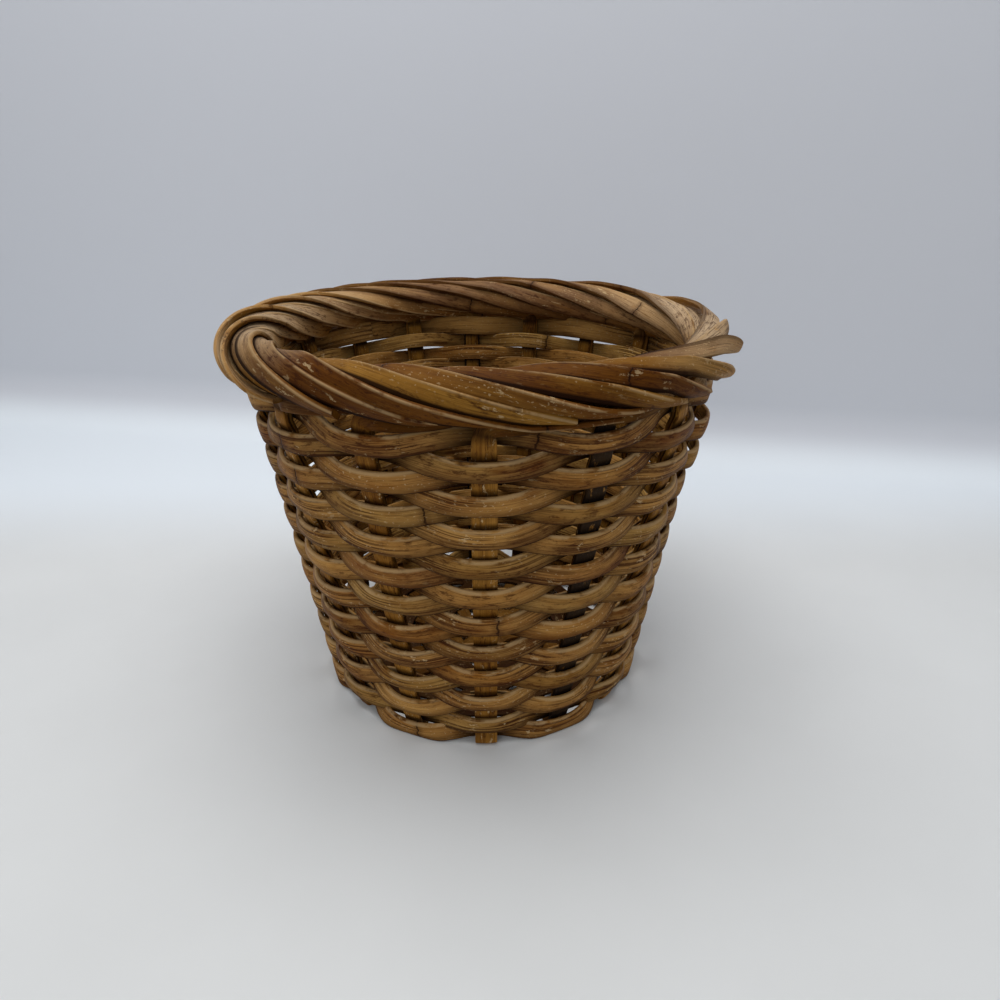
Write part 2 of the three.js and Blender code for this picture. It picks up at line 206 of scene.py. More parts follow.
# Worked out from those
ROLL_AXIS_RADIUS = BORDER_OUTER_RADIUS - ROLL_REACH
ROLL_AXIS_HEIGHT = BASKET_HEIGHT - ROLL_REACH
WALL_TOP = ROLL_AXIS_HEIGHT - ROLL_REACH - BORDER_GAP / 2
WALL_LEAN = math.atan2(WALL_TOP_RADIUS - FOOT_RADIUS, WALL_TOP)
STACK = SPLIT_THICKNESS + CLEARANCE + BY_STAKE_THICKNESS
UPRIGHT_OFFSET = (STACK - SPLIT_THICKNESS) / 2
BY_STAKE_OFFSET = (BY_STAKE_THICKNESS - STACK) / 2
COURSE_OFFSET = STACK / 2 + CLEARANCE + COURSE_THICKNESS / 2
ROUND_OFFSET = SPLIT_THICKNESS / 2 + CLEARANCE + ROUND_THICKNESS / 2
BASE_HEIGHT = SPLIT_THICKNESS / 2 + CLEARANCE + ROUND_THICKNESS + FLOOR_GAP
MAT_PITCH = MAT_WIDTH + MAT_GAP
MAT_HALF = (SPLITS_EACH_WAY - 1) / 2 * MAT_PITCH + MAT_WIDTH / 2
FAN_START = MAT_HALF + MAT_APRON
FOOT_OUTER = FOOT_RADIUS + UPRIGHT_OFFSET
FOOT_INNER = FOOT_OUTER - FOOT_FLAT
RISE_RADIUS = FOOT_INNER - (BASE_HEIGHT - SPLIT_THICKNESS / 2) * RISE_SLOPE
LAST_ROUND = RISE_RADIUS - ROUND_MARGIN - ROUND_WIDTH / 2
FIRST_ROUND = LAST_ROUND - (ROUNDS - 1) * ROUND_PITCH
HIGHEST_COURSE = WALL_TOP - SOLID_COURSE_WIDTH / 2 - COURSE_DIP - CLEARANCE
COURSE_PITCH = (HIGHEST_COURSE - LOWEST_COURSE) / (COURSES - 1)
UP = np.array([0.0, 0.0, 1.0])


def upright_angle(number):
    """The angle of an upright round the basket, from the front towards +X."""
    even = TURN * np.asarray(number, dtype=float) / UPRIGHTS
    swing = SPACING_SWING * np.sin(even)
    return FRONT_UPRIGHT + even + swing + SPACING_DRIFT * (1 - np.cos(even))


def outward(angle):
    """The direction away from the basket's axis."""
    angle = np.asarray(angle, dtype=float)
    return np.stack([np.sin(angle), -np.cos(angle), np.zeros_like(angle)], -1)


def around(angle):
    """The direction along the wall, towards the next upright."""
    angle = np.asarray(angle, dtype=float)
    return np.stack([np.cos(angle), np.sin(angle), np.zeros_like(angle)], -1)


def point_at(angle, radius, height):
    out = outward(angle) * np.asarray(radius)[..., None]
    return out + np.asarray(height)[..., None] * UP


def wall_normal(angle):
    return outward(angle) * math.cos(WALL_LEAN) - UP * math.sin(WALL_LEAN)


def wall_climb(angle):
    return outward(angle) * math.sin(WALL_LEAN) + UP * math.cos(WALL_LEAN)


def wall_point(angle, height, offset):
    """A point of the wall, offset from its middle along its own normal."""
    height = np.asarray(height, dtype=float)
    radius = FOOT_RADIUS + height * math.tan(WALL_LEAN)
    return point_at(angle, radius, height) + wall_normal(angle) * np.asarray(offset)[..., None]


def drift(place, seed):
    """A slow wander between about -1 and 1 along a piece, different for each seed."""
    place = np.asarray(place, dtype=float)
    wander = np.sin(place + seed * 12.9) + 0.6 * np.sin(place * 2.3 + seed * 7.7)
    return (wander + 0.4 * np.sin(place * 4.1 + seed * 3.1)) / 1.6


def fraction(seed):
    """A fixed number between 0 and 1 for each seed."""
    return (math.sin(seed * 127.1 + 11.7) * 43758.5453) % 1.0


def lingering(swing):
    """A swing between 1 and -1 that stays longer near its two ends."""
    return 1.22 * swing - 0.22 * swing ** 3


# Straight splits
def pick_edges(blank, wanted):
    """Selects the edges whose middle and direction pass the test, and stays in edit mode."""
    bpy.ops.mesh.select_mode(type="EDGE")
    bpy.ops.mesh.select_all(action="DESELECT")
    bpy.ops.object.mode_set(mode="OBJECT")
    vertices = blank.data.vertices
    for edge in blank.data.edges:
        start, end = (vertices[i].co for i in edge.vertices)
        edge.select = wanted((start + end) / 2, (end - start).normalized())
    bpy.ops.object.mode_set(mode="EDIT")


def runs_along(middle, way):
    return abs(way.z) > 0.9


def straight_split(name, width, thickness, edge_round, cuts):
    """A straight split, one metre long, with rounded long edges and rings to bend at."""
    bpy.ops.object.select_all(action="DESELECT")
    bpy.ops.mesh.primitive_cube_add(size=1)
    blank = bpy.context.object
    blank.name = name
    blank.scale = (width, thickness, 1)
    bpy.ops.object.transform_apply(location=False, rotation=False, scale=True)
    bpy.ops.object.mode_set(mode="EDIT")
    pick_edges(blank, runs_along)
    bpy.ops.mesh.bevel(offset=edge_round, segments=3, affect="EDGES")
    face_half = width / 2 - edge_round
    pick_edges(blank, lambda middle, way: abs(way.x) > 0.9 and abs(middle.x) < face_half)
    bpy.ops.mesh.subdivide(number_cuts=5)
    for count in cuts:
        pick_edges(blank, runs_along)
        bpy.ops.mesh.subdivide(number_cuts=count - 1)
    bpy.ops.object.mode_set(mode="OBJECT")
    return {"mesh": blank, "rings": math.prod(cuts), "width": width, "thickness": thickness}


def run_length(middle):
    """How far each ring is along a way."""
    return np.concatenate([[0], np.cumsum(np.linalg.norm(np.diff(middle, axis=0), axis=1))])


def bent_split(name, blank, way, slot, node):
    """A copy of a straight split, bent along its way. The way gives, ring by ring, the
    middle, the direction that the outer face looks in, the width, the thickness and the looks,
    which become attributes that the material reads."""
    mesh = blank["mesh"].data.copy()
    mesh.name = name
    count = len(mesh.vertices)
    straight = np.empty(count * 3)
    mesh.vertices.foreach_get("co", straight)
    straight = straight.reshape(count, 3)
    ring = np.rint((straight[:, 2] + 0.5) * blank["rings"]).astype(int)
    across_share = straight[:, 0] / (blank["width"] / 2)
    depth_share = straight[:, 1] / (blank["thickness"] / 2)

    middle = way["middle"]
    along = np.gradient(middle, axis=0)
    along /= np.linalg.norm(along, axis=1, keepdims=True)
    across = np.cross(way["face"], along)
    across /= np.linalg.norm(across, axis=1, keepdims=True)
    outer = np.cross(along, across)

    crown = np.where(depth_share > 0, way["crown"][ring], way["back_crown"][ring])
    depth = depth_share * way["thickness"][ring] / 2 * (1 - crown * across_share ** 2)
    depth += way["shift"][ring]
    side = across_share * way["width"][ring] / 2
    bent = middle[ring] + outer[ring] * depth[:, None] + across[ring] * side[:, None]
    mesh.vertices.foreach_set("co", bent.ravel())

    length = run_length(middle)
    nearest = np.full(len(length), NO_GROWTH_RING)
    for place in way["growth_rings"]:
        signed = length - place
        nearest = np.where(np.abs(signed) < np.abs(nearest), signed, nearest)
    # The upper edge takes pale wear with a painted highlight, the lower one painted shade
    in_view = depth_share * way["upper"][ring] > 0
    upper = across_share * way["upper"][ring] * np.where(in_view, 1.0, HIDDEN_CORNER)
    # Painted shade, for the outer face or the inner one
    covered = np.where(depth_share > 0, way["shade"][ring], way["back_shade"][ring])
    on_face = np.abs(across_share) < NARROW_SIDE
    skyward = outer[ring][:, 2] * np.sign(depth_share) * on_face
    values = {
        "tone": way["tone"][ring] + np.where(depth_share < 0, way["back_tone"][ring], 0),
        "hue": way["hue"][ring],
        "shade": np.clip(covered, 0, 1),
        "tuck": way["tuck"][ring],
        "burn": way["burn"][ring],
        "growth": nearest[ring],
        "upper": upper,
        "dust": np.clip(DUST_ANYWHERE + DUST_FACING_UP * skyward, 0, 1) * way["dusty"][ring],
    }
    for key, value in values.items():
        attribute = mesh.attributes.new(key, "FLOAT", "POINT")
        attribute.data.foreach_set("value", value.astype(np.float32))
    corner = np.empty(len(mesh.loops), dtype=np.int32)
    mesh.loops.foreach_get("vertex_index", corner)
    # The strip's own map, in metres, starts at another place for each piece
    seed = way["seed"]
    strip_along = length[ring] + 3.7 * fraction(seed)
    strip_across = side + 0.5 * depth + fraction(seed + 0.5)
    strip = np.stack([strip_along, strip_across], -1)
    layer = mesh.uv_layers.new(name="strip")
    layer.data.foreach_set("uv", strip[corner].astype(np.float32).ravel())

    piece = bpy.data.objects.new(name, mesh)
    bpy.context.collection.objects.link(piece)
    mesh.update()
    bpy.ops.object.select_all(action="DESELECT")
    piece.select_set(True)
    bpy.context.view_layer.objects.active = piece
    bpy.ops.object.shade_smooth_by_angle(angle=SMOOTH_BELOW)
    mesh.materials.clear()
    mesh.materials.append(CANE[slot])
    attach(piece, "root")
    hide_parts(node)


def finished_way(middle, face, width, thickness, seed, growth_rings, **more):
    """A way with everything that bent_split reads, each value given for every ring."""
    given = {"width": width, "thickness": thickness, "hue": 0.5, "tuck": 0.0, "burn": 0.0,
             "upper": 0.0, "dusty": 0.0, "back_tone": 0.0, "shift": 0.0, **more}
    given.setdefault("back_crown", given["crown"])
    given.setdefault("back_shade", given["shade"])
    way = {"middle": middle, "face": face, "seed": seed, "growth_rings": growth_rings}
    for key, value in given.items():
        way[key] = np.broadcast_to(np.asarray(value, dtype=float), (len(middle),)).copy()
    return way


def rounded_way(stations, rings):
    """Rounds the corners of a run of stations and spreads the rings evenly along it."""
    table = np.array([np.concatenate(station) for station in stations])
    for _ in range(CORNER_CUTS):
        near = 0.75 * table[:-1] + 0.25 * table[1:]
        far = 0.25 * table[:-1] + 0.75 * table[1:]
        inner = np.stack([near, far], 1).reshape(-1, table.shape[1])
        table = np.vstack([table[:1], inner[1:-1], table[-1:]])
    length = run_length(table[:, :3])
    places = np.linspace(0, length[-1], rings + 1)
    return np.stack([np.interp(places, length, column) for column in table.T], -1)


# The ways of the long splits and the by-stakes
FIRST_FRONT = -((SPLITS_EACH_WAY - 1) // 2)
MAT_ANGLE = float(upright_angle(FIRST_FRONT + (SPLITS_EACH_WAY - 1) / 2))


def split_ends(way, place):
    """The numbers of the two uprights that a split's ends become."""
    start = FIRST_FRONT + place + way * SPLITS_EACH_WAY
    total = 2 * FIRST_FRONT + 3 * SPLITS_EACH_WAY - 1 + way * 2 * SPLITS_EACH_WAY
    return start, total - start


SPLIT_OF_UPRIGHT = {
    end % UPRIGHTS: way * SPLITS_EACH_WAY + place
    for way in range(2)
    for place in range(SPLITS_EACH_WAY)
    for end in split_ends(way, place)
}
BLACKENED = SPLIT_OF_UPRIGHT[1]


def upright_width(number):
    return UPRIGHT_WIDTHS[SPLIT_OF_UPRIGHT[number % UPRIGHTS]] * MM


def mat_line(way, place):
    """The directions of one split across the mat, and how far it lies to the side."""
    angle = MAT_ANGLE + way * math.pi / 2
    return outward(angle), around(angle), (place - (SPLITS_EACH_WAY - 1) / 2) * MAT_PITCH


def spoke_line(number):
    """Where a spoke leaves the mat, and where it starts down to the foot."""
    split = SPLIT_OF_UPRIGHT[number % UPRIGHTS]
    way, place = divmod(split, SPLITS_EACH_WAY)
    ahead, right, side = mat_line(way, place)
    near = split_ends(way, place)[0] % UPRIGHTS == number % UPRIGHTS
    start = ahead * (FAN_START if near else -FAN_START) + right * side
    return start, point_at(upright_angle(number), RISE_RADIUS, 0.0)


def spoke_at_radius(number, radius):
    start, end = spoke_line(number)
    run = end - start
    a, b, c = run @ run, 2 * start @ run, start @ start - radius * radius
    return start + run * (-b + math.sqrt(b * b - 4 * a * c)) / (2 * a)


def border_point(number, reach, out, rise):
    """A point of the roll, by how far out and up it is from the roll's middle."""
    angle = upright_angle(number + reach)
    return point_at(angle, ROLL_AXIS_RADIUS + out, ROLL_AXIS_HEIGHT + rise)


def strand_turn(number):
    """How far a strand turns round the roll from one upright to the next, at a place."""
    near_tightest = np.cos(upright_angle(number) - TIGHTEST)
    return STRAND_TURN + TURN_SWING * np.tanh(TURN_CHANGE * near_tightest)


# How far a strand has turned in all at each of these places
PLACES = np.linspace(-UPRIGHTS, 2 * UPRIGHTS, 3 * UPRIGHTS * TURN_STEPS + 1)
TURNS = strand_turn(PLACES)
TURNED = np.concatenate([[0], np.cumsum((TURNS[:-1] + TURNS[1:]) / 2 / TURN_STEPS)])


def at_front(middle):
    """1 at the front of the border and 0 round the rest of it, ring by ring."""
    away = np.hypot(middle[:, 0], middle[:, 1])
    return np.clip(0.1 - 1.3 * middle[:, 1] / away, 0, 1)


def border_looks(middle):
    """How bright and how dusty the border is round the basket, ring by ring: painted darker at
    the front, as shade, dull at the back, and painted paler at the two ends, as light, where
    it is dustier too."""
    away = np.hypot(middle[:, 0], middle[:, 1])
    end = np.clip((np.abs(middle[:, 0]) / away - 0.55) / 0.4, 0, 1)
    end *= 1 - 0.45 * np.clip(middle[:, 1] / END_FADE, 0, 1)
    front = at_front(middle)
    end_tone = np.where(middle[:, 0] < 0, LEFT_END_TONE, RIGHT_END_TONE)
    bright = BORDER_TONE - FRONT_TONE * front + end * end_tone
    return bright, np.clip(0.3 - 0.3 * front + 0.9 * end, 0, 1)


def border_stations(number, wall, is_by_stake, seed):
    """The border strand of one upright or by-stake, as a run of stations."""
    place = number % UPRIGHTS
    wall_out = math.hypot(wall[0], wall[1]) - ROLL_AXIS_RADIUS
    wall_rise = wall[2] - ROLL_AXIS_HEIGHT
    start = number + ENTRY_REACH
    entry = STRAND_ENTRY - (float(strand_turn(start)) / 2 if is_by_stake else 0)
    entry_out = ENTRY_RADIUS * math.cos(entry)
    entry_rise = ENTRY_RADIUS * math.sin(entry)
    width = STRAND_WIDTH * (WIDTH_LEAST + WIDTH_SPREAD * fraction(seed))
    outermost = ROLL_RADIUS
    if is_by_stake and place not in SIDE_BY_SIDE:
        outermost = CORE_RADIUS
    elif not is_by_stake:
        width *= WIDE_STRANDS.get(place, 1)
    stations = []
    for reach, share in LEANING_OVER:
        out = wall_out + (entry_out - wall_out) * reach / ENTRY_REACH
        rise = wall_rise + (entry_rise - wall_rise) * share
        spot = border_point(number, reach, out, rise)
        face = outward(upright_angle(number + reach))
        stations.append((spot, face, [width, STRAND_THICKNESS, 0]))

    cut = SQUARE_CUT.get((place, is_by_stake), {})
    if cut:
        end = math.radians(cut["end"])
        place_in_row = 0
    else:
        end = STRAND_END + END_SPREAD * (fraction(seed + 0.3) - 0.5)
        outermost += RADIUS_SPREAD * (fraction(seed + 0.1) - 0.5)
        place_in_row = ROW_SPREAD * (fraction(seed + 0.9) - 0.5)
    stand_off, tip_width = cut.get("stand_off", 0.0), cut.get("tip", 1.0)
    curl_from, curl = cut.get("curl", (0, 1))
    run_on = cut.get("run_on", 0.0)
    reach = wound = ENTRY_REACH
    roll = entry
    while roll > end or run_on > 0:
        settled = min(1.0, (reach - ENTRY_REACH) / SETTLE_REACH)
        sway = (place_in_row + ROW_WANDER * float(drift(reach * 1.3, seed))) * settled
        passed = np.interp(number + wound, PLACES, TURNED) - np.interp(start, PLACES, TURNED)
        roll = entry - float(passed) + sway
        if roll <= end and run_on > 0:
            roll = end
            run_on -= STRAND_STEP
        tip = 0 if cut else float(np.clip(1 - (roll - end) / TIP_ANGLE, 0, 1))
        free = float(np.clip(1 - (roll - end) / FREE_ANGLE, 0, 1)) ** 2
        loose = RADIUS_WANDER * float(drift(reach * 1.7, seed + 0.7)) * settled
        radius = ENTRY_RADIUS + (outermost - ENTRY_RADIUS) * settled + loose
        radius = radius - TIP_SINK * tip ** 2 + stand_off * free
        tilt = STRAND_TILT + TILT_WANDER * float(drift(reach * 1.1, seed + 0.4))
        look = min(roll, (roll + math.pi) / 2) - tilt
        angle = upright_angle(number + reach)
        face = -math.cos(look) * outward(angle) - math.sin(look) * UP
        spot = border_point(number, reach, radius * math.cos(roll), radius * math.sin(roll))
        swell = 1 + WIDTH_WANDER * float(drift(reach * 2.1, seed + 0.2))
        swell = swell - TIP_NARROWING * tip ** 2 - (1 - tip_width) * free
        # The painted shade in the seams is darkest at the front, and fades towards its right end
        far_right = float(np.clip((math.sin(angle) - 0.5) / 0.3, 0, 1))
        front = float(at_front(spot[None, :])[0])
        tuck = TUCK_BEHIND + (1 - TUCK_BEHIND) * front * (1 - 0.8 * far_right)
        stations.append((spot, face, [width * swell, STRAND_THICKNESS, tuck * (1 - free)]))
        wound += STRAND_STEP
        reach += STRAND_STEP / curl if roll < math.radians(curl_from) else STRAND_STEP
    return stations


def split_end_stations(number, seed):
    """One end of a split, from the edge of the mat to the tip of its border strand."""
    angle = upright_angle(number)
    normal = wall_normal(angle)
    half = SPLIT_THICKNESS / 2
    base = [MAT_WIDTH, SPLIT_THICKNESS, 0]
    wall = [upright_width(number), SPLIT_THICKNESS, 0]
    top = wall_point(angle, WALL_TOP, UPRIGHT_OFFSET)
    bend = FOOT_BULGE if number % UPRIGHTS == 0 else 0.0
    foot = point_at(angle, FOOT_OUTER + bend - half, half)
    # A station that is given twice makes a sharper corner
    return [
        (spoke_line(number)[0] + BASE_HEIGHT * UP, -UP, base),
        (point_at(angle, RISE_RADIUS, BASE_HEIGHT), -UP, base),
        (point_at(angle, FOOT_INNER, half), -UP, wall),
        (foot, -UP, wall),
        (foot, -UP, wall),
        (wall_point(angle, SPLIT_THICKNESS, UPRIGHT_OFFSET + bend), normal, wall),
        (wall_point(angle, SPLIT_THICKNESS, UPRIGHT_OFFSET + bend), normal, wall),
        (wall_point(angle, FOOT_BULGE_TOP, UPRIGHT_OFFSET), normal, wall),
        (wall_point(angle, HIGHEST_COURSE, UPRIGHT_OFFSET), normal, wall),
        (top, normal, [STRAND_WIDTH, SPLIT_THICKNESS, 0]),
        *border_stations(number, top, False, seed),
    ]


def mat_stations(way, place):
    """The stretch of a split that weaves over and under the other way's splits."""
    ahead, right, side = mat_line(way, place)
    lift = (SPLIT_THICKNESS + CLEARANCE) / 2
    stations = []
    for crossing in range(SPLITS_EACH_WAY):
        distance = ((SPLITS_EACH_WAY - 1) / 2 - crossing) * MAT_PITCH
        other = SPLITS_EACH_WAY - 1 - crossing if way == 0 else crossing
        first, second = (place, other) if way == 0 else (other, place)
        over = 1 if (first + second) % 2 == way else -1
        for edge in (1, -1):
            spot = ahead * (distance + edge * (MAT_WIDTH / 2 + MAT_MARGIN)) + right * side
            spot = spot + (BASE_HEIGHT + over * lift) * UP
            stations.append((spot, -UP, [MAT_WIDTH, SPLIT_THICKNESS, 0]))
    return stations


def growth_places(length, seed, spacing=GROWTH_SPACING):
    """Where the growth rings of a cane fall along a split of it."""
    places = []
    place = spacing * fraction(seed + 0.7)
    while place < length:
        places.append(place)
        place += spacing * (0.75 + 0.5 * fraction(seed + place * 10))
    return places


def in_border(middle):
    """How far a strip has left the wall for the border, 0 to 1, ring by ring."""
    return np.clip((middle[:, 2] - WALL_TOP) / FADE_HEIGHT, 0, 1)


def give_between_courses(middle, number, on_wall):
    """Lets a stake give outwards where a course lies behind it, and inwards where one lies
    in front. Also returns the wave that it gives by: 1 where a course lies behind, -1 where
    one lies in front and 0 off the wall."""
    height = middle[:, 2]
    wave = np.cos(math.pi * (number + (height - LOWEST_COURSE) / COURSE_PITCH))
    held = np.clip((HIGHEST_COURSE + GIVE_ABOVE - height) / FADE_HEIGHT, 0, 1) * on_wall
    give = UPRIGHT_WAVE * wave * held
    middle = middle + wall_normal(upright_angle(number)) * give[:, None]
    return middle, wave * on_wall


def long_split_way(way, place, rings):
    near, far = split_ends(way, place)
    split = way * SPLITS_EACH_WAY + place
    seed = SPLIT_SEED + split
    stations = split_end_stations(near, seed)[::-1] + mat_stations(way, place)
    stations += split_end_stations(far, seed + FAR_END_SEED)
    table = rounded_way(stations, rings)
    middle, face, size = table[:, :3], table[:, 3:6], table[:, 6:]
    places = np.linspace(0, SPLIT_LOOKS, rings + 1)
    border = in_border(middle)
    on_wall = np.clip((middle[:, 2] - FADE_HEIGHT) / FADE_HEIGHT, 0, 1) * (1 - border)
    in_base = np.clip(2 - middle[:, 2] / FADE_HEIGHT, 0, 1)
    at_near = places < SPLIT_LOOKS / 2
    middle, near_wave = give_between_courses(middle, near, on_wall * at_near)
    middle, far_wave = give_between_courses(middle, far, on_wall * ~at_near)
    wave = near_wave + far_wave
    bright, dusty = border_looks(middle)
    front_shade = FRONT_SHADE * border * at_front(middle)
    tone = 0.5 * drift(places, seed) + fraction(seed) - 0.5
    tone = tone + (0.5 * np.clip(wave, 0, 1) - 0.3) * on_wall + bright * border
    # Painted shade: round the courses in front of the split on the wall, on its inner face, on
    # the upper face of its spokes in the base, at the border's front and in its seams
    return finished_way(
        middle, face, size[:, 0], size[:, 1], seed, crown=SPLIT_CROWN, tone=tone,
        hue=0.5 + 0.4 * drift(places * 0.5, seed + 0.6) - 0.5 * on_wall,
        shade=on_wall * np.clip((0.75 - wave) / 0.7, 0, 1) * 0.85 + front_shade,
        back_shade=0.3 * on_wall + 0.65 * in_base + front_shade,
        tuck=size[:, 2], upper=UPPER_IN_BORDER * border, dusty=border * dusty,
        burn=on_wall if split == BLACKENED else 0.0,
        growth_rings=growth_places(1.0, seed))


# By-stakes whose strands differ from the rest: brighter or duller, and redder or yellower
STRAND_LOOKS = {13: (1.9, -0.9), 12: (-0.2, 0.5), 14: (0.2, 0.6), 15: (0.9, -0.2)}


def by_stake_way(number, rings):
    angle = upright_angle(number)
    normal = wall_normal(angle)
    seed = BY_STAKE_SEED + number
    wall = [BY_STAKE_WIDTH, BY_STAKE_THICKNESS, 0]
    top = wall_point(angle, WALL_TOP, BY_STAKE_OFFSET)
    stations = [
        (wall_point(angle, BY_STAKE_FOOT, BY_STAKE_OFFSET), normal, wall),
        (wall_point(angle, HIGHEST_COURSE, BY_STAKE_OFFSET), normal, wall),
        (top, normal, [STRAND_WIDTH, BY_STAKE_THICKNESS, 0]),
        *border_stations(number, top, True, seed),
    ]
    table = rounded_way(stations, rings)
    middle, face, size = table[:, :3], table[:, 3:6], table[:, 6:]
    places = np.linspace(0, BY_STAKE_LOOKS, rings + 1)
    border = in_border(middle)
    middle, wave = give_between_courses(middle, number, 1 - border)
    bright, dusty = border_looks(middle)
    brighter, warm = STRAND_LOOKS.get(number, (0, 0))
    front_shade = FRONT_SHADE * border * at_front(middle)
    course_inside = np.clip((wave + 0.8) / 0.7, 0, 1)
    # Painted shade: on the wall, more on the inner face where a course lies inside the by-stake,
    # at the border's front and in its seams
    return finished_way(
        middle, face, size[:, 0], size[:, 1], seed, crown=SPLIT_CROWN,
        tone=0.5 * drift(places, seed) + fraction(seed) - 0.5 + (bright + brighter) * border,
        hue=0.5 + 0.4 * drift(places * 0.5, seed + 0.6) + warm * border,
        shade=0.5 * (1 - border) + front_shade,
        back_shade=(1 - border) * (course_inside * 0.6 + 0.4) + front_shade,
        tuck=size[:, 2], upper=UPPER_IN_BORDER * border, dusty=border * dusty,
        growth_rings=growth_places(0.5, seed))


# The ways of the wall courses and the base rounds
def lapped(places, end, lap_half, thickness):
    """The thickness of a strip whose two ends, at 0 and at the end, are lapped over each
    other and pared for it, and how far its middle moves aside there, ring by ring."""
    opening = np.clip((lap_half + LAP_FADE - places) / LAP_FADE, 0, 1)
    closing = np.clip((places - (end - lap_half - LAP_FADE)) / LAP_FADE, 0, 1)
    pared = np.maximum(opening, closing)
    return thickness * (1 - PARED_AWAY * pared), thickness / 4 * (closing - opening)


def at_back(angle):
    """1 at the back of the basket and 0 at its front."""
    return 0.5 - 0.5 * np.cos(angle)


def course_bends(course, side, angle, height):
    """How far a course drops down the wall and stands out from its middle, ring by ring, and
    how much of its wander is left."""
    drop = side * (COURSE_DIP + DIP_SPREAD * fraction(course + 5.5))
    out = side * COURSE_OFFSET
    free = 1.0
    if course == 0:
        # It runs along the floor and rises only over the bends of the splits
        away = np.angle(np.exp(1j * (angle - FRONT_UPRIGHT)))
        front_upright = np.exp(-(away / FRONT_REACH) ** 2)
        rise = LOWEST_COURSE_RISE * (1 - side) ** 2 * (1 - front_upright)
        drop = height - LOWEST_COURSE_MIDDLE - rise
        out = out + LOWEST_COURSE_BOW * (1 - side ** 2)
        out = out + (BEND_PUSH + FRONT_BEND_PUSH * front_upright) * np.clip(-side, 0, 1)
        free = 0.0
    elif course == 1:
        in_all, in_front, behind = SECOND_COURSE_DROP
        drop = in_all + in_front * side + behind * ((1 - side) / 2) ** 2
        free = HELD_WANDER
    elif course == COURSES - 1:
        back = at_back(angle)
        aside = np.clip(np.abs(np.sin(angle)) / 0.45, 0, 1)
        dip = side * HIGHEST_DIP * (1 - 0.8 * back)
        drop = dip - HIGHEST_RAISE * (1 - 0.6 * back + 1.8 * back * aside)
        free = HELD_WANDER
    up_there = ((height - BULGE_HEIGHT) / BULGE_SPREAD) ** 2
    bulge = np.exp(-up_there - ((np.sin(angle) - 1) / BULGE_REACH) ** 2)
    return drop, out + SIDE_BULGE * bulge * np.clip(0.3 + side, 0, 1), free


def course_way(course, rings):
    lap = (course * LAP_STEP + FIRST_LAP) % UPRIGHTS
    if (lap + course) % 2 != 0:
        lap += 1  # the lap is hidden behind an upright
    spacing = float(upright_angle(lap + 0.5) - upright_angle(lap - 0.5))
    height = LOWEST_COURSE + course * COURSE_PITCH
    radius = FOOT_RADIUS + height * math.tan(WALL_LEAN)
    lap_half = (upright_width(lap) / 2 + LAP_TAIL) / (radius * spacing)
    uprights = np.linspace(lap - lap_half, lap + UPRIGHTS + lap_half, rings + 1)
    angle = upright_angle(uprights)
    side = -lingering(np.cos(math.pi * (uprights - lap)))
    wander = COURSE_WANDER * drift(uprights * 0.5, course + 0.2)
    drop, out, free = course_bends(course, side, angle, height)
    middle = wall_point(angle, height + free * wander, out)
    middle = middle - wall_climb(angle) * drop[:, None]
    lean = COURSE_LEAN * (1 - 0.5 * at_back(angle)) * (1 - side ** 2)
    lean = lean + LEAN_WANDER * drift(uprights * 0.9, course + 0.6)
    face = wall_normal(angle) * np.cos(lean)[:, None] + wall_climb(angle) * np.sin(lean)[:, None]
    swell = 0.05 * drift(uprights * 0.7, course + 0.9)
    width = COURSE_WIDTH * (1 + swell + 0.05 * (fraction(course + 0.4) - 0.5))
    # Painted shade on the inner face, where the course passes behind an upright seen from inside
    back_shade = 0.5 * np.clip(0.9 * side - 0.1, 0, 1) ** 1.5
    if course == 0:
        width = LOWEST_COURSE_WIDTH
    elif course == COURSES - 1:
        width = width * (1 + 0.25 * at_back(angle))
        # Painted shadow of the border on the highest course's inner face
        back_shade = back_shade + 0.35
    thickness, shift = lapped(uprights - lap, UPRIGHTS, lap_half, COURSE_THICKNESS)
    # Painted shade on the outer face where the course passes behind an upright, and a little
    # tucked shade along its lower edge
    return finished_way(
        middle, face, width, thickness, course + 1.0,
        crown=COURSE_CROWN, back_crown=COURSE_BACK_CROWN, shift=shift,
        tone=0.45 * drift(uprights * 0.5, course + 0.1) + 1.3 * (fraction(course + 2.2) - 0.5),
        hue=fraction(course + 7.7) + 0.35 * drift(uprights * 0.3, course + 0.8),
        shade=np.clip(-0.2 - 1.1 * side, 0, 1) ** 1.2,
        back_shade=back_shade, back_tone=0.8, upper=1.0, tuck=0.15, dusty=0.12,
        growth_rings=growth_places(0.65, course + 3.3, COURSE_GROWTH_SPACING))


